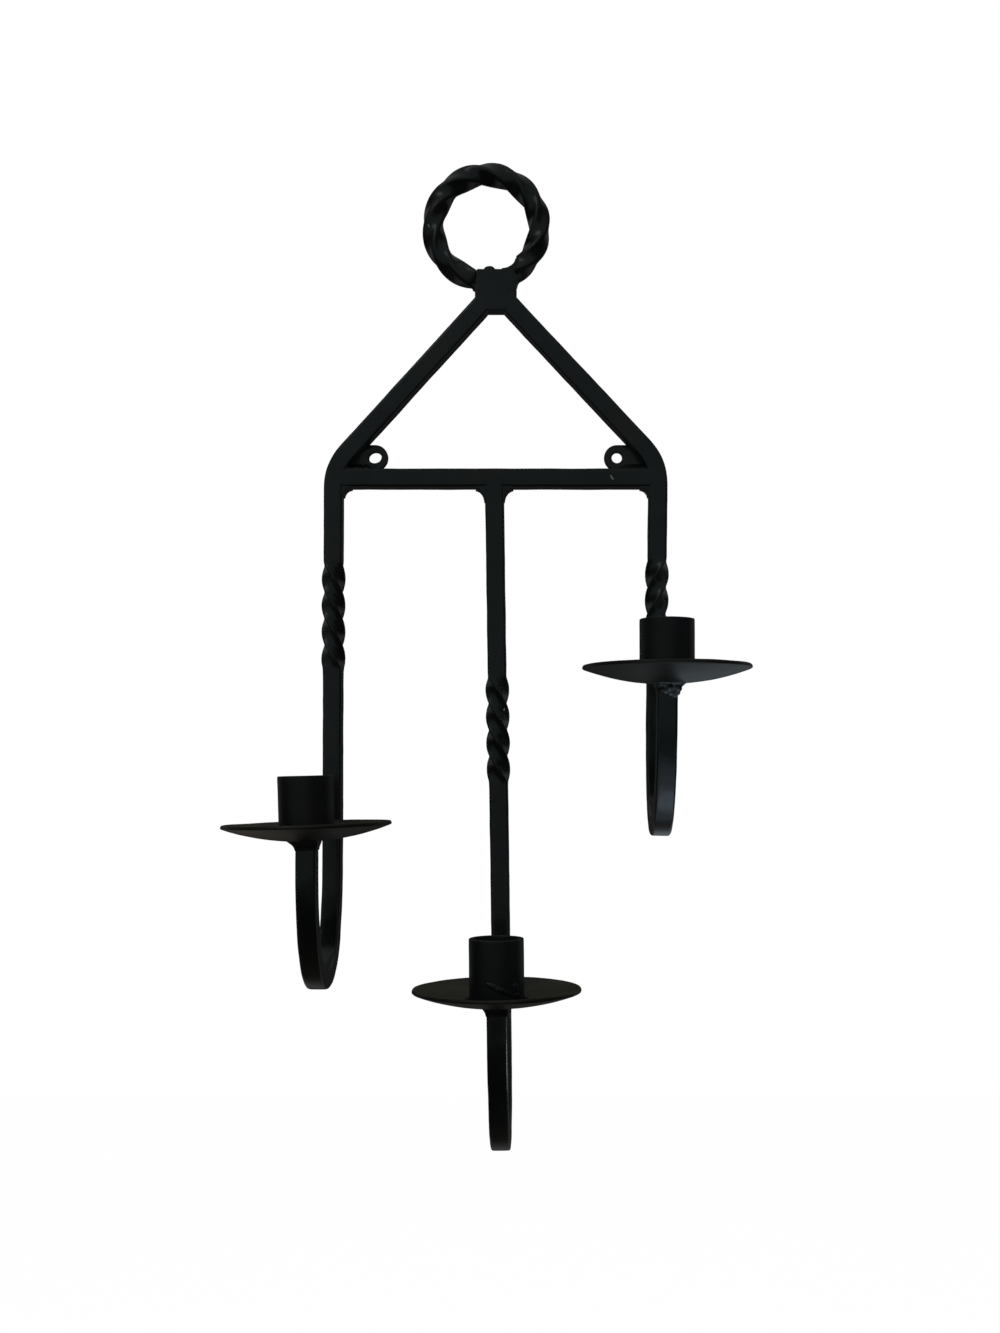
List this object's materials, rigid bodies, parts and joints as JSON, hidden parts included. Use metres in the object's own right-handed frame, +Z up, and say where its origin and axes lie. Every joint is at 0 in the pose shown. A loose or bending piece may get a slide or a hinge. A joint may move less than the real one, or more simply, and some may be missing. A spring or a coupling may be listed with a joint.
{
  "type": "wall candle holder",
  "caption": "Black wall candle holder of forged square bar: a twisted hanging ring, a peaked frame with screw tabs, and hooked twisted arms, each with a drip pan and a tube candle cup.",
  "frame": {"origin": "midway between the two screw holes, on the plane of the bars' back faces", "axes": "+X to the right of someone facing the wall, +Y into the wall, +Z up"},
  "size_m": [0.255, 0.119, 0.5117],
  "materials": {
    "bar_paint": "satin black paint over forged steel bar",
    "pan_paint": "satin black paint over pressed sheet and tube",
    "weld_paint": "satin black paint over uneven weld beads"
  },
  "bodies": {
    "root": {"left_side_bar": "bar_paint", "right_side_bar": "bar_paint", "cross_bar": "bar_paint", "centre_bar": "bar_paint", "hanging_ring": "bar_paint", "left_tab": "bar_paint", "left_tab_weld": "weld_paint", "left_cross_weld": "weld_paint", "right_tab": "bar_paint", "right_tab_weld": "weld_paint", "right_cross_weld": "weld_paint", "tee_weld": "weld_paint", "apex_weld": "weld_paint", "ring_welds": "weld_paint", "left_drip_pan": "pan_paint", "left_candle_cup": "pan_paint", "left_pan_weld": "weld_paint", "left_cup_welds": "weld_paint", "right_drip_pan": "pan_paint", "right_candle_cup": "pan_paint", "right_pan_weld": "weld_paint", "right_cup_welds": "weld_paint", "centre_drip_pan": "pan_paint", "centre_candle_cup": "pan_paint", "centre_pan_weld": "weld_paint", "centre_cup_welds": "weld_paint"}
  },
  "joints": []
}
